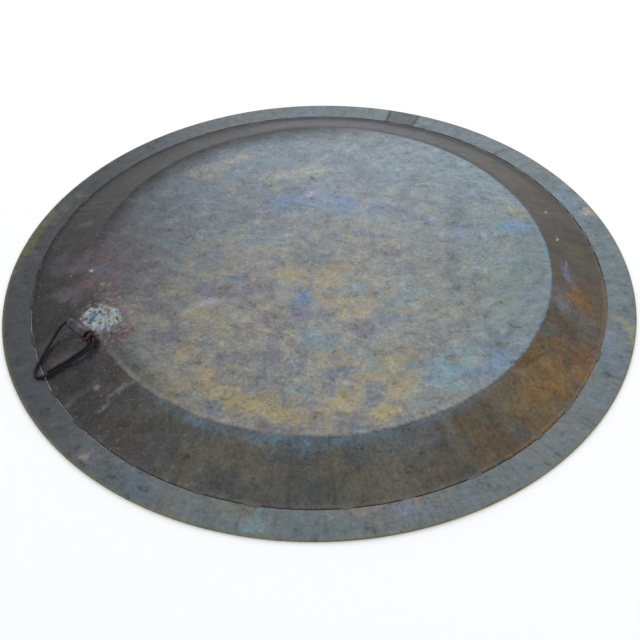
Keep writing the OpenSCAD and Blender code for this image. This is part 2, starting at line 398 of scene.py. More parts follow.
def makeSwirlGroup():
    # Buffing marks: thin streaks that run round a centre, inside a ring about it
    tree, given, out = newGroup("swirl", [("Vector", "Vector", None), ("Centre", "Vector", None),
                                          ("Reach", "Float", 0.1)], [("Streak", "Float")])
    apart = vectorMaths(tree, "SUBTRACT", given["Vector"], given["Centre"])[0]
    radius, turn = polarPlace(tree, apart)
    line = place(tree, "ShaderNodeCombineXYZ", {0: times(tree, radius, 260.0),
                                                1: times(tree, turn, 1.5)}).outputs[0]
    streak = ratedNoise(tree, line, 1.0, 3)["Fac"]
    share = maths(tree, "DIVIDE", radius, given["Reach"])
    inside = times(tree, step(tree, share, 0.2, 0.6),
                   maths(tree, "SUBTRACT", 1.0, step(tree, share, 0.75, 1.1)))
    tree.links.new(times(tree, maths(tree, "SUBTRACT", streak, 0.5), inside), out["Streak"])
    return tree


blotchGroup, polarGroup, grainGroup, swirlGroup, fleckGroup = (
    makeBlotchGroup(), makePolarGroup(), makeGrainGroup(), makeSwirlGroup(), makeFleckGroup())


def ragged(tree, vector, size, amount):
    # The coordinates pushed about by noise, which makes the edges of a stain ragged
    push = ratedNoise(tree, vector, 1 / size, 4, 0.65)["Color"]
    centred = vectorMaths(tree, "SUBTRACT", push, (0.5, 0.5, 0.5))[0]
    return vectorMaths(tree, "MULTIPLY_ADD", centred, (amount, amount, 0), vector)[0]


def stainAll(tree, colour, vector, stains, breakUp):
    # Lays the listed stains over a colour, their bearings and turns taken as the gong lies. spread is
    # what the noise at a stain's edge eats away.
    spread = 1.25
    for bearing, radius, halfX, halfY, turn, stain, strength in stains:
        x, y = radius * math.cos(math.radians(bearing)), radius * math.sin(math.radians(bearing))
        colour = useGroup(tree, blotchGroup, {
            "Colour": colour, "Stain": (*stain, 1), "Vector": vector, "Centre": (x, y, 0),
            "Size": (halfX * spread, halfY * spread, 10), "Turn": (0, 0, -math.radians(turn)),
            "Break": breakUp, "Strength": strength})["Colour"]
    return colour


def speckle(tree, colour, spot, level, tone, size):
    # Etched grain over a colour, as one factor that lightens and darkens it: flecks, strokes and mottle.
    # Pits darken it further.
    grain = useGroup(tree, grainGroup, {"Vector": spot, "Size": size})
    fleck = useGroup(tree, fleckGroup, {"Vector": level, "Size": size * 5})
    uneven = maths(tree, "ADD", maths(tree, "SUBTRACT", grain["Mottle"], 0.5),
                   maths(tree, "SUBTRACT", fleck["Strokes"], 0.5))
    lift = maths(tree, "MULTIPLY_ADD", uneven, tone["contrast"], 1.0)
    lift = maths(tree, "SUBTRACT", lift, step(tree, fleck["Flecks"], 0.48, 0.36, tone["darkFlecks"]))
    lift = maths(tree, "ADD", lift, step(tree, fleck["Flecks"], 0.53, 0.66, tone["lightFlecks"]))
    colour = place(tree, "ShaderNodeVectorMath", {0: colour, "Scale": lift}, operation="SCALE").outputs[0]
    return tint(tree, times(tree, grain["Pits"], 0.6), colour, (0.04, 0.042, 0.045)), grain


def scratches(tree, level, turn, amount):
    # Long fine scratches in one direction, as a mask: the crests of noise drawn out along it
    drawn = drawOut(tree, level, (0.03, 1, 1), math.radians(turn))
    return step(tree, noise(tree, drawn, 0.005, 3, 0.6), 0.68, 0.74, amount)


print("shader groups made")

# ---- the shell ----
# Metres. dent, sway and wander are how far hammering has moved the sheet.
shell = {"faceRadius": 0.335, "faceHeight": 0.031, "crownRise": 0.003, "shoulderRadius": 0.016,
         "footFillet": 0.014, "footRadius": 0.4168, "footLip": 0.005, "sheet": 0.0025,
         "sectors": 480, "crownRows": 72, "shoulderRows": 12, "wallRows": 30, "footRows": 8,
         "edgeRound": 0.0004, "dent": 0.00016, "sway": 0.00035, "wander": 0.0016}


def shellMeridian(size):
    # Radius and height of the outer surface from the middle out: a crown of very large radius, the
    # shoulder's arc, the straight wall, the foot's hollow arc and the flat lip
    faceR, faceH, rise = size["faceRadius"], size["faceHeight"], size["crownRise"]
    corner = size["footRadius"] - size["footLip"]
    slope = math.atan2(faceH - size["sheet"], corner - faceR)
    crownR = (faceR**2 + rise**2) / (2 * rise)
    crownZ = faceH + rise - crownR
    bend, fillet = size["shoulderRadius"], size["footFillet"]
    outwards, down = (np.array([math.sin(slope), math.cos(slope)]),
                      np.array([math.cos(slope), -math.sin(slope)]))
    base = np.array([faceR, faceH - crownZ]) - bend * outwards
    part = base @ down
    centre = base + (-part - math.sqrt(part**2 - base @ base + (crownR - bend)**2)) * down
    crownEnd = math.atan2(centre[0], centre[1])
    centre = centre + [0, crownZ]
    footCentre = np.array([corner + fillet * math.tan(slope / 2), size["sheet"] + fillet])
    reach = crownR * math.sin(crownEnd)
    r = np.linspace(0.004, reach, size["crownRows"], endpoint=False)
    crown = np.stack([r, crownZ + np.sqrt(crownR**2 - r**2)], -1)
    a = np.linspace(crownEnd, slope, size["shoulderRows"], endpoint=False)
    shoulder = centre + bend * np.stack([np.sin(a), np.cos(a)], -1)
    wallTop = centre + bend * outwards
    wallFoot = footCentre - fillet * outwards
    share = np.linspace(0, 1, size["wallRows"], endpoint=False)[:, None]
    wall = wallTop + share * (wallFoot - wallTop)
    a = np.linspace(slope, 0, size["footRows"], endpoint=False)
    foot = footCentre - fillet * np.stack([np.sin(a), np.cos(a)], -1)
    lipEnd = np.array([[size["footRadius"] - size["edgeRound"], size["sheet"]]])
    return np.concatenate([crown, shoulder, wall, foot, footCentre[None] - [0, fillet], lipEnd])


meridian = shellMeridian(shell)


def shellGround(radius):
    return np.interp(radius, meridian[:, 0], meridian[:, 1])


def shellParts(size):
    # The meridian carried round the axis. The sheet sways over hand's breadths and holds the shallow
    # dents of the hammer, and the shoulder wanders in and out by a millimetre or two.
    tangent = unitRows(np.gradient(meridian, axis=0))
    normal = np.stack([-tangent[:, 1], tangent[:, 0]], -1)
    turn = np.linspace(0, 2 * np.pi, size["sectors"], endpoint=False)
    around, r = np.meshgrid(turn, meridian[:, 0])
    x, y = r * np.cos(around), r * np.sin(around)
    hold = smoothStep(r, 0.002, 0.02) * (1 - smoothStep(r, 0.400, size["footRadius"] - 0.006))
    dents = -np.abs(waves(x, y, 0.034, 0.016, 11)) * (0.5 + 0.5 * waves(x, y, 0.25, 0.1, 12))
    push = (size["dent"] * dents + size["sway"] * waves(x, y, 0.28, 0.09, 13)) * hold
    rim = np.cos(3 * around + 1) + 0.7 * np.cos(5 * around + 4) + 0.5 * np.cos(11 * around)
    shift = size["wander"] * rim * smoothStep(r, 0.25, 0.33) * (1 - smoothStep(r, 0.36, 0.405))
    top = meridian[:, None, :] + push[..., None] * normal[:, None, :]
    top[..., 0] += shift * 0.5
    # the inside, a sheet's thickness away and in every other row
    under = (top[::-1] - size["sheet"] * normal[::-1, None, :])[::2]
    under[..., 1] = np.maximum(under[..., 1], 0)
    under[..., 0] = np.minimum(under[..., 0], size["footRadius"] - size["edgeRound"])
    edge = np.full((2, size["sectors"], 2), size["footRadius"])
    edge[0, :, 1] = size["sheet"] - size["edgeRound"]
    edge[1, :, 1] = 0.0003
    rows = np.concatenate([top, edge, under])
    grid = carryRound(rows[..., 0], rows[..., 1], turn)
    middle = meridian[0, 1]
    return gridParts(grid, ((0, 0, middle), (0, 0, middle - size["sheet"])))


# Colours are linear. The face is marbled in slate, drab and tan, the wall browner and darker, partly
# patina and partly painted shade.
shellTone = {
    "marble": [(0.36, (0.095, 0.09, 0.11)), (0.43, (0.13, 0.15, 0.19)), (0.47, (0.16, 0.175, 0.175)),
               (0.50, (0.21, 0.195, 0.16)), (0.54, (0.16, 0.195, 0.19)), (0.58, (0.13, 0.17, 0.20)),
               (0.64, (0.22, 0.21, 0.175))],
    "marbleDeep": [(0.40, (0.12, 0.135, 0.165)), (0.47, (0.15, 0.135, 0.135)), (0.52, (0.165, 0.18, 0.18)),
                   (0.60, (0.23, 0.205, 0.155))],
    "ochre": (0.25, 0.21, 0.115), "faceLeftShade": (0.085, 0.088, 0.108), "faceRightShade": (0.10, 0.15, 0.165),
    "faceBackSheen": (0.165, 0.22, 0.265), "faceBrownShade": (0.06, 0.055, 0.045), "swirlPale": (0.30, 0.29, 0.24),
    "swirlDark": (0.08, 0.09, 0.10), "wall": (0.108, 0.10, 0.076), "wallCool": (0.075, 0.078, 0.075),
    "wallLeftShade": (0.034, 0.033, 0.034), "wallLeftSpeck": (0.055, 0.048, 0.053),
    "wallRust": (0.12, 0.075, 0.035), "wallBackReflection": (0.065, 0.076, 0.092), "wallBandShade": (0.014, 0.013, 0.012),
    "wallRightShade": (0.055, 0.045, 0.03), "wallSpeck": (0.22, 0.21, 0.22), "dripPale": (0.15, 0.155, 0.15),
    "dripDark": (0.03, 0.028, 0.025), "edgeBlueHighlight": (0.12, 0.18, 0.24), "edgeTanHighlight": (0.22, 0.21, 0.19),
    "underEdge": (0.10, 0.19, 0.26), "scratch": (0.06, 0.068, 0.07), "spatter": (0.26, 0.22, 0.21),
    "spatterCentre": (-0.28, -0.13, 0.033),
    "swirls": [(-0.10, -0.22, 0.10), (0.01, -0.21, 0.07), (0.17, 0.05, 0.16), (-0.14, 0.20, 0.09)],
    "roughness": 0.46, "metallic": 0.75, "darkFlecks": 0.42, "lightFlecks": 0.5, "contrast": 1.5}
blueStain, strongBlue, ochreStain, tealStain = (
    (0.12, 0.18, 0.28), (0.08, 0.20, 0.38), (0.27, 0.22, 0.115), (0.11, 0.22, 0.27))
lilacStain, creamStain, yellowStain = (0.30, 0.28, 0.38), (0.34, 0.31, 0.24), (0.30, 0.24, 0.09)
# Stains: bearing in degrees, radius, half lengths in metres, turn, colour and strength
faceStains = [
    (110, 0.13, 0.05, 0.03, 10, blueStain, 0.6), (75, 0.12, 0.06, 0.035, -10, blueStain, 0.65),
    (55, 0.13, 0.05, 0.02, -20, blueStain, 0.5), (255, 0.10, 0.015, 0.025, 15, strongBlue, 0.4),
    (10, 0.30, 0.03, 0.015, 0, strongBlue, 0.4), (10, 0.22, 0.05, 0.02, -15, blueStain, 0.4),
    (315, 0.32, 0.045, 0.025, 40, blueStain, 0.6), (305, 0.29, 0.05, 0.035, 20, tealStain, 0.6),
    (295, 0.10, 0.03, 0.02, 0, tealStain, 0.5), (270, 0.18, 0.03, 0.02, 0, tealStain, 0.5),
    (95, 0.14, 0.015, 0.01, 0, lilacStain, 0.6), (215, 0.18, 0.02, 0.01, 10, lilacStain, 0.5),
    (230, 0.06, 0.03, 0.02, 0, ochreStain, 0.5), (285, 0.06, 0.03, 0.035, -30, ochreStain, 0.5),
    (220, 0.20, 0.03, 0.02, 0, ochreStain, 0.5), (285, 0.11, 0.04, 0.02, 0, ochreStain, 0.5),
    (270, 0.22, 0.03, 0.02, 0, ochreStain, 0.4), (275, 0.29, 0.03, 0.02, 20, ochreStain, 0.6),
    (255, 0.30, 0.055, 0.02, -10, yellowStain, 0.5), (285, 0.31, 0.035, 0.015, 10, yellowStain, 0.6),
    (290, 0.28, 0.04, 0.02, 40, ochreStain, 0.6), (285, 0.25, 0.045, 0.01, 30, ochreStain, 0.6),
    (235, 0.27, 0.05, 0.02, -35, ochreStain, 0.5), (245, 0.29, 0.05, 0.02, -25, yellowStain, 0.4),
    (125, 0.27, 0.07, 0.02, 35, creamStain, 0.45), (100, 0.20, 0.07, 0.02, 10, creamStain, 0.4),
    (15, 0.32, 0.03, 0.02, -50, ochreStain, 0.4)]
wallStains = [
    (350, 0.36, 0.01, 0.03, 5, (0.13, 0.15, 0.26), 0.7),
    (340, 0.36, 0.02, 0.04, 25, (0.15, 0.15, 0.17), 0.6),
    (345, 0.375, 0.015, 0.035, 15, (0.22, 0.12, 0.04), 0.6),
    (330, 0.40, 0.04, 0.045, 0, (0.18, 0.09, 0.04), 0.6),
    (320, 0.38, 0.045, 0.06, -50, (0.20, 0.13, 0.05), 0.7),
    (310, 0.37, 0.05, 0.04, -35, (0.14, 0.10, 0.055), 0.6),
    (335, 0.37, 0.02, 0.03, 10, (0.06, 0.05, 0.04), 0.6),
    (245, 0.345, 0.04, 0.006, -25, (0.13, 0.18, 0.20), 0.45),
    (260, 0.345, 0.05, 0.009, -10, (0.12, 0.20, 0.25), 0.5),
    (272, 0.345, 0.03, 0.005, 0, (0.12, 0.18, 0.22), 0.5),
    (290, 0.36, 0.01, 0.05, 10, (0.15, 0.12, 0.13), 0.5),
    (285, 0.35, 0.06, 0.02, 10, (0.10, 0.12, 0.13), 0.6),
    (225, 0.36, 0.03, 0.005, 40, (0.20, 0.19, 0.22), 0.6),
    (180, 0.38, 0.02, 0.03, 0, (0.10, 0.085, 0.10), 0.5),
    (165, 0.37, 0.012, 0.012, 0, (0.13, 0.12, 0.14), 0.5),
    (190, 0.37, 0.015, 0.02, 30, (0.11, 0.10, 0.115), 0.5),
    (210, 0.38, 0.02, 0.02, 0, (0.09, 0.085, 0.095), 0.5),
    (220, 0.37, 0.006, 0.006, 0, (0.24, 0.22, 0.24), 0.6),
    (15, 0.37, 0.002, 0.006, 0, (0.5, 0.5, 0.5), 0.6), (5, 0.36, 0.002, 0.006, 0, (0.5, 0.5, 0.5), 0.6),
    (355, 0.36, 0.002, 0.006, 0, (0.5, 0.5, 0.5), 0.5)]
lugStains = [
    (185, 0.32, 0.05, 0.08, 0, (0.13, 0.10, 0.115), 0.6),
    (190, 0.31, 0.008, 0.007, 0, (0.30, 0.24, 0.10), 0.7),
    (190, 0.33, 0.01, 0.01, 0, (0.20, 0.10, 0.08), 0.6),
    (185, 0.31, 0.015, 0.01, 0, (0.12, 0.13, 0.20), 0.5),
    (185, 0.33, 0.005, 0.004, 0, (0.45, 0.45, 0.5), 0.7),
    (205, 0.31, 0.04, 0.04, 0, (0.14, 0.09, 0.088), 0.7),
    (205, 0.28, 0.02, 0.03, 0, (0.22, 0.19, 0.18), 0.45)]


def faceColour(tree, lying, level, torn, breakUp, leftBack, tone):
    # Two marblings mixed, with ochre in front, painted shade on the left and right, painted brown shade
    # near the edge on the left and behind, a painted bluish sheen behind, stains and buffing marks
    across, away = apartFrom(tree, lying)[:2]
    face = ramp(tree, noise(tree, torn, 0.09, 12, 0.72), tone["marble"])
    deep = ramp(tree, noise(tree, moved(tree, level, 3, 7), 0.05, 12, 0.74), tone["marbleDeep"])
    mixed = noise(tree, moved(tree, torn, 6, 1), 0.12, 8, 0.7)
    face = tint(tree, step(tree, mixed, 0.44, 0.56), face, deep)
    goldish = noise(tree, moved(tree, torn, 1, 5), 0.06, 8, 0.72)
    lower = times(tree, step(tree, away, 0.12, -0.24), step(tree, goldish, 0.50, 0.64))
    face = tint(tree, times(tree, lower, 0.6), face, tone["ochre"])
    # painted shade: the face darkens towards the left and the back
    face = tintEach(tree, face, [(leftBack, -0.08, -0.34, 0.8, tone["faceLeftShade"])])
    radius = useGroup(tree, polarGroup, {"Vector": lying})["Radius"]
    # painted brown shade near the face's edge on the left and behind
    brown = times(tree, step(tree, leftBack, -0.10, -0.34, 0.6), step(tree, radius, 0.20, 0.31))
    face = tint(tree, brown, face, tone["faceBrownShade"])
    # painted shade on the right, and a painted bluish sheen that lightens the face behind
    face = tintEach(tree, face, [(across, 0.05, 0.32, 0.6, tone["faceRightShade"]),
                                 (away, -0.04, 0.24, 0.55, tone["faceBackSheen"])])
    face = stainAll(tree, face, torn, faceStains, breakUp)
    swept = ragged(tree, lying, 0.035, 0.035)
    patches = step(tree, noise(tree, moved(tree, torn, 8, 8), 0.05, 4), 0.42, 0.62)
    for x, y, reach in tone["swirls"]:
        streak = useGroup(tree, swirlGroup, {"Vector": swept, "Centre": (x, y, 0), "Reach": reach})[0]
        streak = times(tree, streak, maths(tree, "MULTIPLY_ADD", patches, 0.85, 0.15))
        face = tint(tree, times(tree, streak, 2.0, clamp=True), face, tone["swirlPale"])
        face = tint(tree, times(tree, streak, -2.4, clamp=True), face, tone["swirlDark"])
    return face


def wallColour(tree, lying, level, torn, breakUp, leftBack, tone):
    # Rust on the right, painted shade (partly patina) on the left, painted shade on the right behind and
    # in bands behind, a painted bluish reflection behind, with drips down the slope and stains
    across, away = apartFrom(tree, lying)[:2]
    polar = useGroup(tree, polarGroup, {"Vector": lying})
    cool = step(tree, noise(tree, torn, 0.06, 6, 0.6), 0.38, 0.64)
    wall = tint(tree, cool, tone["wall"], tone["wallCool"])
    rust = times(tree, step(tree, across, 0.06, 0.30),
                 step(tree, noise(tree, moved(tree, torn, 2, 9), 0.045, 6, 0.65), 0.42, 0.58))
    wall = tint(tree, times(tree, rust, step(tree, away, 0.08, -0.15)), wall, tone["wallRust"])
    # painted reflection of a cool sky: the wall turns bluer towards the back
    wall = tintEach(tree, wall, [(away, 0.12, 0.34, 0.8, tone["wallBackReflection"])])
    # painted shade: dark lines at the foot and top of the wall behind
    band = nudged(tree, polar["Radius"], noise(tree, level, 0.12, 4), 0.02)
    shadeBands = maths(tree, "MAXIMUM", step(tree, band, 0.354, 0.346), step(tree, band, 0.392, 0.402))
    wall = tint(tree, times(tree, shadeBands, step(tree, away, 0.08, 0.25, 0.75)), wall, tone["wallBandShade"])
    # painted shade, partly patina: a very dark left wall with paler specks
    leftWall = tint(tree, step(tree, noise(tree, moved(tree, torn, 4, 3), 0.03, 8, 0.75), 0.45, 0.62),
                    tone["wallLeftShade"], tone["wallLeftSpeck"])
    # painted shade: the wall darkens on the right, behind the front
    right = times(tree, step(tree, across, 0.15, 0.38, 0.6), step(tree, away, -0.12, 0.05))
    wall = tint(tree, right, wall, tone["wallRightShade"])
    dark = maths(tree, "MAXIMUM", step(tree, across, -0.12, -0.33, 0.95),
                 step(tree, leftBack, -0.15, -0.40))
    wall = tint(tree, dark, wall, leftWall)
    # painted shade: darker still towards the far left and back
    wall = tintEach(tree, wall, [(leftBack, -0.22, -0.42, 0.6, tone["wallBandShade"])])
    specks = step(tree, noise(tree, moved(tree, level, 9, 9), 0.005, 3, 0.6), 0.63, 0.70)
    wall = tint(tree, times(tree, specks, step(tree, across, 0.0, -0.25, 0.7)), wall, tone["wallSpeck"])
    drip = ratedNoise(tree, drawOut(tree, polar["Around"], (170, 6, 1)), 1.0, 4)["Fac"]
    wall = tintEach(tree, wall, [(drip, 0.52, 0.75, 0.2, tone["dripPale"]),
                                 (drip, 0.48, 0.25, 0.35, tone["dripDark"])])
    return stainAll(tree, wall, torn, wallStains, breakUp)


def makeShellBronze(tone):
    material, tree, shader = newMaterial("shellBronze", tone["roughness"], tone["metallic"])
    spot = objectPlace(tree)
    lying = lie(tree, spot)
    level = flatten(tree, lying)
    radius = useGroup(tree, polarGroup, {"Vector": lying})["Radius"]
    across, away = apartFrom(tree, lying)[:2]
    # falls towards the left and the back, the way the painted shade deepens
    leftBack = maths(tree, "SUBTRACT", across, times(tree, away, 0.45))
    torn = ragged(tree, level, 0.045, 0.05)
    breakUp = noise(tree, level, 0.03, 9, 0.8)
    face = faceColour(tree, lying, level, torn, breakUp, leftBack, tone)
    wall = wallColour(tree, lying, level, torn, breakUp, leftBack, tone)

    # face into wall: crisp on the right and in front, blurred by painted brown shade on the left and
    # behind.
    # A thin painted highlight runs along the shoulder, blue on the right and tan in front, and a blue line
    # under it.
    edge = nudged(tree, radius, noise(tree, level, 0.05, 3), 0.004)
    rough = nudged(tree, radius, breakUp, 0.05)
    blurred = step(tree, rough, 0.285, 0.342)
    crisp = step(tree, edge, 0.3335, 0.337)
    outside = maths(tree, "MULTIPLY_ADD", maths(tree, "SUBTRACT", blurred, crisp),
                    step(tree, leftBack, 0.05, -0.20), crisp)
    colour = tint(tree, outside, face, wall)
    # the painted highlight along the shoulder
    line = times(tree, step(tree, edge, 0.327, 0.332), step(tree, edge, 0.338, 0.3345))
    line = times(tree, line, step(tree, breakUp, 0.35, 0.6))
    under = times(tree, step(tree, edge, 0.3355, 0.338), step(tree, rough, 0.351, 0.338))
    under = times(tree, under, step(tree, breakUp, 0.30, 0.65))
    for mask, value, low, high, share, name in (
            (line, away, 0.0, -0.25, 0.6, "edgeTanHighlight"), (line, across, 0.12, 0.28, 0.8, "edgeBlueHighlight"),
            (under, away, -0.22, -0.31, 0.55, "underEdge")):
        colour = tint(tree, times(tree, mask, step(tree, value, low, high, share)), colour, tone[name])
    scratched = maths(tree, "MAXIMUM", scratches(tree, level, 25, 0.6), scratches(tree, level, -50, 0.4))
    colour = tint(tree, scratched, colour, tone["scratch"])
    colour = stainAll(tree, colour, torn, lugStains, breakUp)
    # flux spattered about the braze
    apart = vectorMaths(tree, "DISTANCE", lying, tone["spatterCentre"])["Value"]
    spatter = times(tree, step(tree, apart, 0.07, 0.03),
                    step(tree, noise(tree, moved(tree, level, 2, 2), 0.006, 5, 0.75), 0.50, 0.62, 0.8))
    colour = tint(tree, spatter, colour, tone["spatter"])
    colour, grain = speckle(tree, colour, spot, level, tone, 0.0042)
    finishSurface(tree, shader, colour, grain["Height"], 0.0004, 0.5, grain["Mottle"], 0.35, 0.26)
    return material


def makeUnderBronze():
    # The inside of the shell: raw hammered bronze, gone brown
    material, tree, shader, spot, grain = grainyMaterial("underBronze", 0.45, 0.7, 0.006)
    cells = place(tree, "ShaderNodeTexVoronoi", {"Vector": spot, "Scale": 45.0},
                  feature="SMOOTH_F1").outputs["Distance"]
    colour = tint(tree, noise(tree, spot, 0.10, 5), (0.10, 0.065, 0.035), (0.24, 0.17, 0.09))
    green = noise(tree, spot, 0.05, 4, 0.7)
    colour = tintEach(tree, colour, [(green, 0.55, 0.7, 0.6, (0.10, 0.12, 0.10))])
    height = maths(tree, "ADD", cells, times(tree, grain["Height"], 0.2))
    finishSurface(tree, shader, colour, height, 0.0006, 1.0, grain["Mottle"], 0.3, 0.28)
    return material


def makeShell():
    materials = [makeShellBronze(shellTone), makeUnderBronze()]

    def underFaces(mesh):
        normals = np.empty(len(mesh.polygons) * 3)
        mesh.polygons.foreach_get("normal", normals)
        return (normals.reshape(-1, 3)[:, 2] < -0.3).astype(np.int32)

    return makePiece("gongShell", [shellParts(shell)], "gong", ["gong_shell"], materials,
                     underFaces)


makeShell()
print("shell made")

# ---- rim ring, its closing piece and the welds ----
# Metres, and degrees for angles and pitches. The seam runs from the shell's foot to the ring's inner edge.
rim = {"outer": 0.457, "inner": 0.418, "thick": 0.0025, "round": 0.0006, "closingLength": 0.052,
       "closingAngle": 313.0, "weld": 0.002, "spreadCount": 25, "closeCount": 7, "closePitch": 5.25,
       "closeFrom": 248.0, "openRun": 32.0, "stitch": 0.017, "bead": 0.005, "beadHeight": 0.0004,
       "uneven": 0.00012}
# right is painted light on the back right and left is painted shade on the left, partly patina
ringTone = {"slate": (0.125, 0.145, 0.145), "blue": (0.115, 0.145, 0.165), "olive": (0.15, 0.145, 0.07),
            "left": (0.058, 0.061, 0.068), "warm": (0.16, 0.145, 0.125), "right": (0.125, 0.16, 0.175),
            "filed": (0.06, 0.067, 0.075), "closing": (0.035, 0.035, 0.03),
            "roughness": 0.5, "metallic": 0.7, "darkFlecks": 0.5, "lightFlecks": 0.4,
            "contrast": 1.1}
ringStains = [
    (20, 0.44, 0.05, 0.05, 0, (0.14, 0.19, 0.26), 0.6),
    (15, 0.45, 0.012, 0.012, 0, (0.30, 0.29, 0.18), 0.7),
    (335, 0.43, 0.02, 0.04, 20, (0.12, 0.15, 0.20), 0.6),
    (340, 0.45, 0.012, 0.05, 15, (0.20, 0.19, 0.11), 0.6),
    (260, 0.44, 0.02, 0.012, 0, (0.15, 0.25, 0.28), 0.6),
    (275, 0.42, 0.03, 0.012, 0, (0.20, 0.17, 0.15), 0.6),
    (280, 0.42, 0.02, 0.01, 0, (0.17, 0.15, 0.20), 0.6),
    (285, 0.43, 0.03, 0.012, 0, (0.13, 0.17, 0.23), 0.6),
    (285, 0.42, 0.008, 0.006, 0, (0.26, 0.15, 0.08), 0.6),
    (230, 0.44, 0.018, 0.014, 0, (0.16, 0.15, 0.18), 0.6),
    (230, 0.44, 0.006, 0.006, 0, (0.28, 0.25, 0.18), 0.6),
    (170, 0.45, 0.012, 0.09, -10, (0.12, 0.12, 0.05), 0.7),
    (160, 0.44, 0.012, 0.05, -25, (0.12, 0.12, 0.08), 0.6),
    (95, 0.43, 0.05, 0.015, 5, (0.13, 0.14, 0.20), 0.5),
    (255, 0.42, 0.04, 0.015, -10, (0.14, 0.165, 0.13), 0.6)]


def arcParts(start, sweep, profile, steps, uneven=0.0, first=0):
    # A closed profile of radius and height, carried round the axis from one angle through another
    turn = np.radians(start + np.linspace(0, sweep, steps))
    shape = np.repeat(profile[None], steps, 0)
    sway = waves(np.cos(turn), np.sin(turn), 0.9, 0.2, 31, 16)[:, None]
    raised = shape[..., 1] > rim["thick"] * 0.3
    shape[..., 1] += np.where(raised, uneven * sway, 0)
    grid = carryRound(shape[..., 0], shape[..., 1], turn[:, None])
    return gridParts(grid, (grid[0].mean(0), grid[-1].mean(0)), first)


def stripProfile(size, proud=0.0, across=10):
    # The ring's section: flat on top and below, with both edges rounded over
    inner, outer, thick, soft = size["inner"], size["outer"], size["thick"] + proud, size["round"]
    a = np.linspace(-90, 90, 7)
    right = np.stack([outer - soft + soft * np.cos(np.radians(a)),
                      thick / 2 + (thick / 2 - soft) * np.sign(a) + soft * np.sin(np.radians(a))], -1)
    left = np.stack([inner + soft * 0.4 - soft * 0.4 * np.cos(np.radians(a[::-1])),
                     thick / 2 + (thick / 2 - soft * 0.4) * np.sign(a[::-1])
                     + soft * 0.4 * np.sin(np.radians(a[::-1]))], -1)
    run = np.linspace(inner + soft, outer - 2 * soft, across)
    top = np.stack([run[::-1], np.full(across, thick)], -1)
    below = np.stack([run, np.zeros(across)], -1)
    return np.concatenate([right, top, left, below])


def beadParts(size, middle, length, first):
    # A stitch weld: it fills the seam, and its bead stands a little over both sheets, scalloped along
    # its run and falling away at both ends
    seamIn, seamOut = shell["footRadius"], size["inner"]
    seam, half = (seamIn + seamOut) / 2, size["bead"] / 2
    steps = 26
    share = np.linspace(-1, 1, steps)
    swell = np.sqrt(np.clip(1 - share**4, 0.02, 1))
    scallop = 1 + 0.18 * np.cos(share * length * 1500)
    across = np.linspace(1, -1, 9)
    width = half * (0.35 + 0.65 * swell)
    radius = seam + width[:, None] * across
    crown = np.sqrt(np.clip(1 - across**2, 0, 1)) * (size["beadHeight"] * swell * scallop)[:, None]
    height = size["thick"] - 0.0001 + crown
    belowR = np.broadcast_to([seamIn, seamIn, seamOut, seamOut], (steps, 4))
    belowZ = np.broadcast_to([size["thick"] * 0.9, 0.0001, 0.0001, size["thick"] * 0.9], (steps, 4))
    radius, height = np.concatenate([radius, belowR], 1), np.concatenate([height, belowZ], 1)
    turn = math.radians(middle) + (share * length / 2 / seam)[:, None]
    grid = carryRound(radius, height, turn)
    return gridParts(grid, (grid[0].mean(0), grid[-1].mean(0)), first)


def makeRingBronze(tone, name="ringBronze", darker=0.0):
    material, tree, shader = newMaterial(name, tone["roughness"], tone["metallic"])
    spot = objectPlace(tree)
    lying = lie(tree, spot)
    level = flatten(tree, lying)
    polar = useGroup(tree, polarGroup, {"Vector": lying})
    across, away = apartFrom(tree, lying)[:2]
    torn = ragged(tree, level, 0.04, 0.03)
    patch = step(tree, noise(tree, torn, 0.07, 6, 0.6), 0.42, 0.62)
    colour = tint(tree, patch, tone["slate"], tone["blue"])
    warm = noise(tree, moved(tree, torn, 5, 2), 0.04, 6, 0.65)
    # leans to the back right, where the ring is painted lighter; it is painted darker on the left
    backRight = maths(tree, "ADD", across, times(tree, away, 0.5))
    # a filed look: short streaks that run across the ring
    streak = ratedNoise(tree, drawOut(tree, polar["Around"], (420, 14, 1)), 1.0, 3)["Fac"]
    colour = tintEach(tree, colour, [
        (warm, 0.52, 0.64, 0.6, tone["warm"]), (backRight, 0.05, 0.40, 0.8, tone["right"]),
        (across, -0.14, -0.42, 0.95, tone["left"]), (streak, 0.48, 0.75, 0.4, tone["filed"])])
    colour = stainAll(tree, colour, torn, ringStains, noise(tree, level, 0.02, 6, 0.7))
    colour = tintEach(tree, colour, [(polar["Radius"], 0.4520, 0.4565, 0.7, tone["olive"])])
    if darker:
        colour = tint(tree, darker, colour, tone["closing"])
    colour, grain = speckle(tree, colour, spot, level, tone, 0.004)
    height = maths(tree, "ADD", grain["Height"], times(tree, streak, 0.6))
    finishSurface(tree, shader, colour, height, 0.0003, 0.5, grain["Mottle"], 0.35, 0.30)
    return material


def makeWeldBronze():
    material, tree, shader, spot, grain = grainyMaterial("weldBronze", 0.4, 0.75, 0.0018)
    colour = tint(tree, noise(tree, spot, 0.012, 5), (0.05, 0.055, 0.052), (0.11, 0.11, 0.10))
    across = apartFrom(tree, lie(tree, spot))[0]
    # painted shade: the welds darken towards the left
    colour = tint(tree, step(tree, across, -0.05, -0.35, 0.8), colour, (0.035, 0.036, 0.04))
    colour = tint(tree, times(tree, grain["Pits"], 0.6), colour, (0.02, 0.02, 0.02))
    finishSurface(tree, shader, colour, grain["Height"], 0.0003, 0.6)
    return material


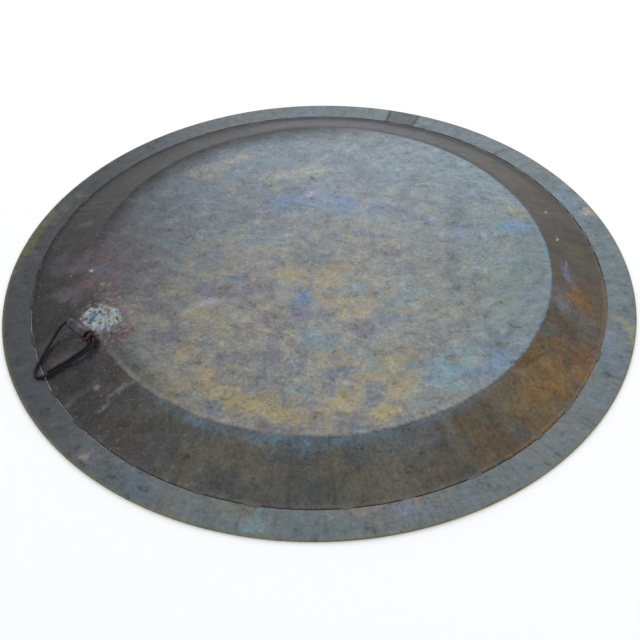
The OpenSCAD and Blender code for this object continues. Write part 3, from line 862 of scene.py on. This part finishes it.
def makeRim(size):
    sweep = math.degrees(size["closingLength"] / size["outer"])
    weld = math.degrees(size["weld"] / size["outer"])
    start = size["closingAngle"] - sweep / 2
    after = start + sweep + weld
    ring = arcParts(after, 360 - sweep - 2 * weld, stripProfile(size), 720, size["uneven"])
    makePiece("rimRing", [ring], "gong", ["rim_ring"], [makeRingBronze(ringTone)])
    makePiece("rimClosingPiece", [arcParts(start, sweep, stripProfile(size, -0.0001), 24)], "gong",
              ["rim_closing_piece"], [makeRingBronze(ringTone, "closingBronze", 0.45)])
    weldBronze = makeWeldBronze()
    first = arcParts(start - weld, weld, stripProfile(size, 0.0001), 4)
    second = arcParts(start + sweep, weld, stripProfile(size, 0.0001), 4, first=len(first[0]))
    makePiece("closingWelds", [first, second], "gong", ["closing_welds"], [weldBronze])
    # a run of close stitches, and the rest spread round the seam but for one open stretch
    beads, count = [], 0
    run = (size["closeCount"] - 1) * size["closePitch"]
    spreadPitch = (360 - size["openRun"] - run) / size["spreadCount"]
    stitches = [(k, size["closeFrom"] + run, spreadPitch) for k in range(1, size["spreadCount"] + 1)]
    stitches += [(k, size["closeFrom"], size["closePitch"]) for k in range(size["closeCount"])]
    for k, begin, pitch in stitches:
        length = size["stitch"] * (1 + 0.3 * math.sin(math.radians(137 * k)))
        middle = begin + (k + 0.14 * math.sin(math.radians(222 * k))) * pitch
        beads.append(beadParts(size, middle, length, count))
        count += len(beads[-1][0])
    makePiece("seamWelds", beads, "gong", ["seam_welds"], [weldBronze])


makeRim(rim)
print("rim, closing piece and welds made")

# ---- lug and braze ----
# The lug's own axes come from the loop's hinge: v along the eye, u outwards, drop below the eye's axis.
hinge = frame["joints"][0]
eye = np.array(hinge["pos_m"])
alongEye = -np.array(hinge["axis"])
outOfEye = np.array([alongEye[1], -alongEye[0], 0])


def lugPoints(route):
    # Points given as u, v and drop, in metres, brought into the frame
    u, v, drop = np.asarray(route, float).T
    return eye + u[:, None] * outOfEye + v[:, None] * alongEye - drop[:, None] * np.array([0, 0, 1])


# Lumps are u, v, radius and height, and pits are u, v and radius
braze = {"centre": (-0.033, 0.003), "rings": 150, "sectors": 420, "crust": 0.0007, "pit": 0.0028,
         "pitLip": 0.0006, "sunk": 0.0012, "apron": 0.0015, "apronWaver": 0.0006,
         "lumps": [(-.016, -.013, .011, .008), (-.014, .000, .012, .009), (-.015, .011, .011, .0085),
                   (-.027, .022, .009, .004), (-.030, -.012, .012, .006), (-.030, .002, .015, .008),
                   (-.034, .016, .014, .006), (-.044, -.008, .011, .005), (-.047, .008, .013, .006),
                   (-.050, .021, .008, .003)],
         "pits": [(-.053, .022, .003), (-.050, .0035, .0034), (-.046, .0045, .003),
                  (-.022, -.018, .0026), (-.030, .009, .0022), (-.038, -.004, .0022),
                  (-.028, -.005, .0018), (-.040, .013, .002), (-.022, .006, .0018), (-.035, .020, .0018)]}


def brazeShare(size):
    return np.linspace(0.01, 1, size["rings"])


def brazeParts(size):
    # A crust on a polar grid about the braze's middle: the lumps' domes, joined, roughened by waves of
    # several lengths, with pits sunk in, and closed by a floor just under the shell's surface
    def lumpHeight(u, v):
        domes = [h * np.clip(1 - ((u - a)**2 + (v - b)**2) / (1.12 * f)**2, 0, 1)**0.8
                 for a, b, f, h in size["lumps"]]
        return np.sum(np.array(domes)**4, 0)**0.25 * (1 - smoothStep(u, -0.0085, -0.004))

    turn = np.linspace(0, 2 * np.pi, size["sectors"], endpoint=False)
    u0, v0 = size["centre"]
    ray = np.linspace(0, 0.05, 400)[:, None]
    full = lumpHeight(u0 + ray * np.cos(turn), v0 + ray * np.sin(turn)) > 0.0002
    outline = ray[:, 0][full.shape[0] - 1 - np.argmax(full[::-1], axis=0)]
    soft = np.ones(25) / 25
    outline = np.convolve(np.concatenate([outline[-12:], outline, outline[:12]]), soft, "valid")
    waver = waves(np.cos(turn) * 0.03, np.sin(turn) * 0.03, 0.02, 0.006, 5, 24)
    outline += size["apron"] + size["apronWaver"] * waver
    share = brazeShare(size)[:, None]
    u, v = u0 + share * outline * np.cos(turn), v0 + share * outline * np.sin(turn)
    height = lumpHeight(u, v)
    crust = (waves(u, v, 0.012, 0.006, 21) + 0.35 * waves(u, v, 0.005, 0.003, 22)
             + 0.12 * waves(u, v, 0.002, 0.001, 23))
    edge = 1 - smoothStep(share, 0.8, 1)
    height = (height * (0.85 + 0.1 * waves(u, v, 0.02, 0.008, 24))
              + size["crust"] * crust * edge * (height > 0))
    for a, b, wide in size["pits"]:
        reach = np.sqrt((u - a)**2 + (v - b)**2) / wide
        lip = size["pitLip"] * np.exp(-((reach - 1.3) / 0.35)**2)
        height -= size["pit"] * (1 - smoothStep(reach, 0.3, 1.0)) - lip
    height = np.maximum(height, 0.0003) * edge

    def lift(u, v, height):
        flat = lugPoints(np.stack([u.ravel(), v.ravel(), np.zeros(u.size)], -1))
        ground = shellGround(np.hypot(flat[:, 0], flat[:, 1]))
        flat[:, 2] = ground + height.ravel()
        return flat.reshape(*u.shape, 3)

    top = lift(u, v, height)
    floor = lift(u, v, np.full(u.shape, -size["sunk"]))[::-1][::6]
    grid = np.concatenate([top, floor])
    return gridParts(grid, (grid[0].mean(0), grid[-1].mean(0)))


def markMargin(piece, size):
    # The share of the way from the braze's middle to its margin, kept on the mesh for its material
    share = np.ones(len(piece.data.vertices))
    share[:size["rings"] * size["sectors"]] = np.repeat(brazeShare(size), size["sectors"])
    piece.data.attributes.new("margin", "FLOAT", "POINT").data.foreach_set("value", share)


def makeBrazeCrust():
    material, tree, shader, spot, grain = grainyMaterial("brazeCrust", 0.75, 0.1, 0.0016)
    tones = [(0.32, (0.07, 0.08, 0.10)), (0.42, (0.14, 0.22, 0.29)), (0.48, (0.26, 0.33, 0.36)),
             (0.53, (0.38, 0.43, 0.41)), (0.58, (0.33, 0.29, 0.21)), (0.65, (0.17, 0.085, 0.05))]
    # paler and darker spots, painted shade in the hollows, and an edge worn back to the bronze
    paler = noise(tree, moved(tree, spot, 4, 2), 0.009, 4)
    specks = noise(tree, moved(tree, spot, 4, 6), 0.0035, 3)
    hollow = place(tree, "ShaderNodeNewGeometry").outputs["Pointiness"]
    margin = place(tree, "ShaderNodeAttribute", attribute_name="margin").outputs["Fac"]
    worn = maths(tree, "ADD", noise(tree, moved(tree, spot, 7, 1), 0.006, 5, 0.7), margin)
    colour = tintEach(tree, ramp(tree, noise(tree, spot, 0.014, 6, 0.62, 0.5), tones), [
        (paler, 0.50, 0.68, 0.7, (0.46, 0.52, 0.52)), (specks, 0.62, 0.70, 0.8, (0.06, 0.05, 0.05)),
        (hollow, 0.48, 0.40, 0.7, (0.05, 0.05, 0.06)), (worn, 1.28, 1.40, 0.9, (0.13, 0.10, 0.10))])
    finishSurface(tree, shader, colour, grain["Height"], 0.0006, 0.7)
    return material


def makeLugBronze():
    # The lug's strap: smooth, heat-tinted purple grey with rubbed edges
    material, tree, shader, spot, grain = grainyMaterial("lugBronze", 0.34, 0.8, 0.002)
    heat = step(tree, noise(tree, spot, 0.018, 4), 0.38, 0.64)
    colour = tint(tree, heat, (0.05, 0.043, 0.058), (0.13, 0.115, 0.14))
    rubbed = noise(tree, spot, 0.009, 4)
    colour = tintEach(tree, colour, [(rubbed, 0.6, 0.72, 0.7, (0.20, 0.12, 0.09))])
    colour = tint(tree, times(tree, grain["Pits"], 0.6), colour, (0.03, 0.03, 0.035))
    finishSurface(tree, shader, colour, grain["Height"], 0.0002, 0.6, grain["Mottle"], 0.3, 0.22)
    return material


markMargin(makePiece("lugBraze", [brazeParts(braze)], "gong", ["lug_braze"], [makeBrazeCrust()]),
           braze)
strap = frame["nodes"]["lug_strap"]
strap.data.materials.clear()
strap.data.materials.append(makeLugBronze())
print("lug and braze made")

# ---- thong ----
# The routes are u, v and drop in metres. The thong is limp leather, dark with handling.
thong = {"diameter": 0.004, "sides": 20, "ridges": 0.07, "twist": 500.0, "loop": [
    (0, .024, 0), (0, .018, 0), (0, .008, 0), (0, -.004, 0), (0, -.014, 0), (0, -.0185, 0),
    (.001, -.022, .0003), (.0034, -.025, .0014), (.007, -.0272, .0034), (.012, -.0286, .007),
    (.020, -.0288, .013), (.028, -.0282, .0184), (.036, -.0268, .0228), (.044, -.0246, .026),
    (.052, -.0216, .0284), (.060, -.0178, .0294), (.067, -.0136, .0296), (.0724, -.0094, .0296),
    (.0756, -.005, .0296), (.0768, -.0005, .0296), (.0754, .0036, .0296), (.0716, .0068, .0296),
    (.066, .0094, .0292), (.059, .0126, .0272), (.051, .0168, .024), (.043, .0212, .0204),
    (.035, .0254, .0164), (.0276, .0294, .012), (.0206, .033, .008), (.014, .0356, .0044),
    (.0084, .0366, .002), (.004, .0354, .0006), (.0012, .0322, .0001), (0, .0284, 0), (0, .025, 0)],
    "tail": [
    (.0036, .0238, 0), (.0044, .0268, -.0004), (.0064, .0298, -.0006), (.0096, .0316, .0004),
    (.0134, .0322, .0022), (.0194, .0304, .005), (.0264, .027, .0088), (.0338, .0231, .0131),
    (.0418, .0189, .0171), (.0498, .0145, .0207), (.0578, .0103, .0239), (.0646, .0072, .0259)]}
knot = {"middle": 0.0185, "turnRadius": 0.0036, "pitch": 0.0034, "bight": (0.0072, 0.0236, 0.002),
        "bightTilt": 60}


def makeLeather(name, dark, light, roughness):
    material, tree, shader, spot, grain = grainyMaterial(name, roughness, 0.0, 0.0012)
    shader.inputs["Specular IOR Level"].default_value = 0.25
    colour = tint(tree, step(tree, noise(tree, spot, 0.006, 4), 0.35, 0.7), dark, light)
    finishSurface(tree, shader, colour, grain["Height"], 0.0002, 0.6)
    return material


def knotPaths(size):
    # A helix of two and a quarter turns about the eye's axis, and a bight that stands up beside it
    turn = np.linspace(0.1, 2.35, 76) * 2 * np.pi
    radius = size["turnRadius"]
    v = size["middle"] + 0.002 + size["pitch"] * turn / (2 * np.pi) * 0.62
    helix = np.stack([radius * np.cos(turn), v, radius * np.sin(turn)], -1)
    a = np.linspace(0, 2 * np.pi, 40, endpoint=False)
    tilt = math.radians(size["bightTilt"])
    u, across, drop = size["bight"]
    ring = np.stack([u + radius * np.cos(a), across - radius * np.sin(a) * math.sin(tilt),
                     -drop + radius * np.sin(a) * math.cos(tilt)], -1)
    return lugPoints(helix), lugPoints(ring)


def closedTube(path, radius, sides, axis, first):
    # A tube round a closed path, on axes square to it and to the path's own axis
    ahead = unitRows(np.roll(path, -1, 0) - np.roll(path, 1, 0))
    turn = np.linspace(0, 2 * np.pi, sides, endpoint=False)[None]
    grid = path[:, None] + radius * tubeRing(ahead, axis, turn)
    index = first + np.arange(len(path) * sides).reshape(-1, sides)
    beside, below = np.roll(index, -1, 1), np.roll(index, -1, 0)
    corners = [index, beside, np.roll(beside, -1, 0), below]
    return grid.reshape(-1, 3), [np.stack(corners, -1).reshape(-1, 4)]


def makeThong(size):
    up = np.array([0, 0, 1.0])
    blackLeather = makeLeather("blackLeather", (0.003, 0.0028, 0.004), (0.012, 0.009, 0.011), 0.45)
    redLeather = makeLeather("redLeather", (0.010, 0.004, 0.005), (0.050, 0.014, 0.014), 0.4)
    helix, bight = knotPaths(knot)
    radius = size["diameter"] / 2
    first = tubeParts(helix, radius, 16, alongEye, ridges=0.04)
    bightAxis = np.cross(bight[10] - bight[0], bight[20] - bight[0])
    second = closedTube(bight, radius * 0.85, 16, bightAxis / np.linalg.norm(bightAxis), len(first[0]))
    knotPiece = makePiece("loopKnot", [first, second], "hanger", ["loop_knot"], [redLeather])
    for name, route, node, far in (("hangingLoop", "loop", "hanging_loop", "knot"),
                                   ("loopTail", "tail", "loop_tail", "bare")):
        path = splinePath(lugPoints(size[route]))
        parts = tubeParts(path, radius, size["sides"], up, ridges=size["ridges"], twist=size["twist"])
        piece = makePiece(name, [parts], "hanger", [node], [blackLeather])


makeThong(thong)
print("thong and knot made")

# ---- floor and light ----
studio = {"floorSize": 6.0, "floorDrop": 0.0006, "floorColour": (0.96, 0.96, 0.96), "ambient": 0.95,
          "sky": (0.97, 0.98, 1.0)}
windowLight = {"bearing": 75, "height": 42, "distance": 3.0, "side": 2.4, "power": 20}


def makeStudio(size):
    half, z = size["floorSize"] / 2, -size["floorDrop"]
    mesh = bpy.data.meshes.new("floor")
    corners = [(-half, -half, z), (half, -half, z), (half, half, z), (-half, half, z)]
    mesh.from_pydata(corners, [], [(0, 1, 2, 3)])
    floor = addObject("floor", mesh)
    material, tree, shader = newMaterial("floorPaint", 0.9, 0.0)
    shader.inputs["Base Color"].default_value = (*size["floorColour"], 1)
    mesh.materials.append(material)
    world = bpy.data.worlds.new("studio")
    world.use_nodes = True
    world.node_tree.nodes["Background"].inputs["Color"].default_value = (*size["sky"], 1)
    world.node_tree.nodes["Background"].inputs["Strength"].default_value = size["ambient"]
    bpy.context.scene.world = world


def makeLight(name, bearing, height, distance, side, power):
    # A square soft light that faces the gong. bearing is measured as the gong lies, from its right
    a, e = math.radians(bearing) - lieTurn, math.radians(height)
    away = Vector((math.cos(a) * math.cos(e), math.sin(a) * math.cos(e), math.sin(e)))
    data = bpy.data.lights.new(name, "AREA")
    data.size = side
    data.energy = power
    light = addObject(name, data)
    light.location = away * distance
    light.rotation_euler = away.to_track_quat("Z", "Y").to_euler()


makeStudio(studio)
makeLight("windowLight", **windowLight)
bpy.context.scene.view_settings.view_transform = "Standard"
print("studio made")
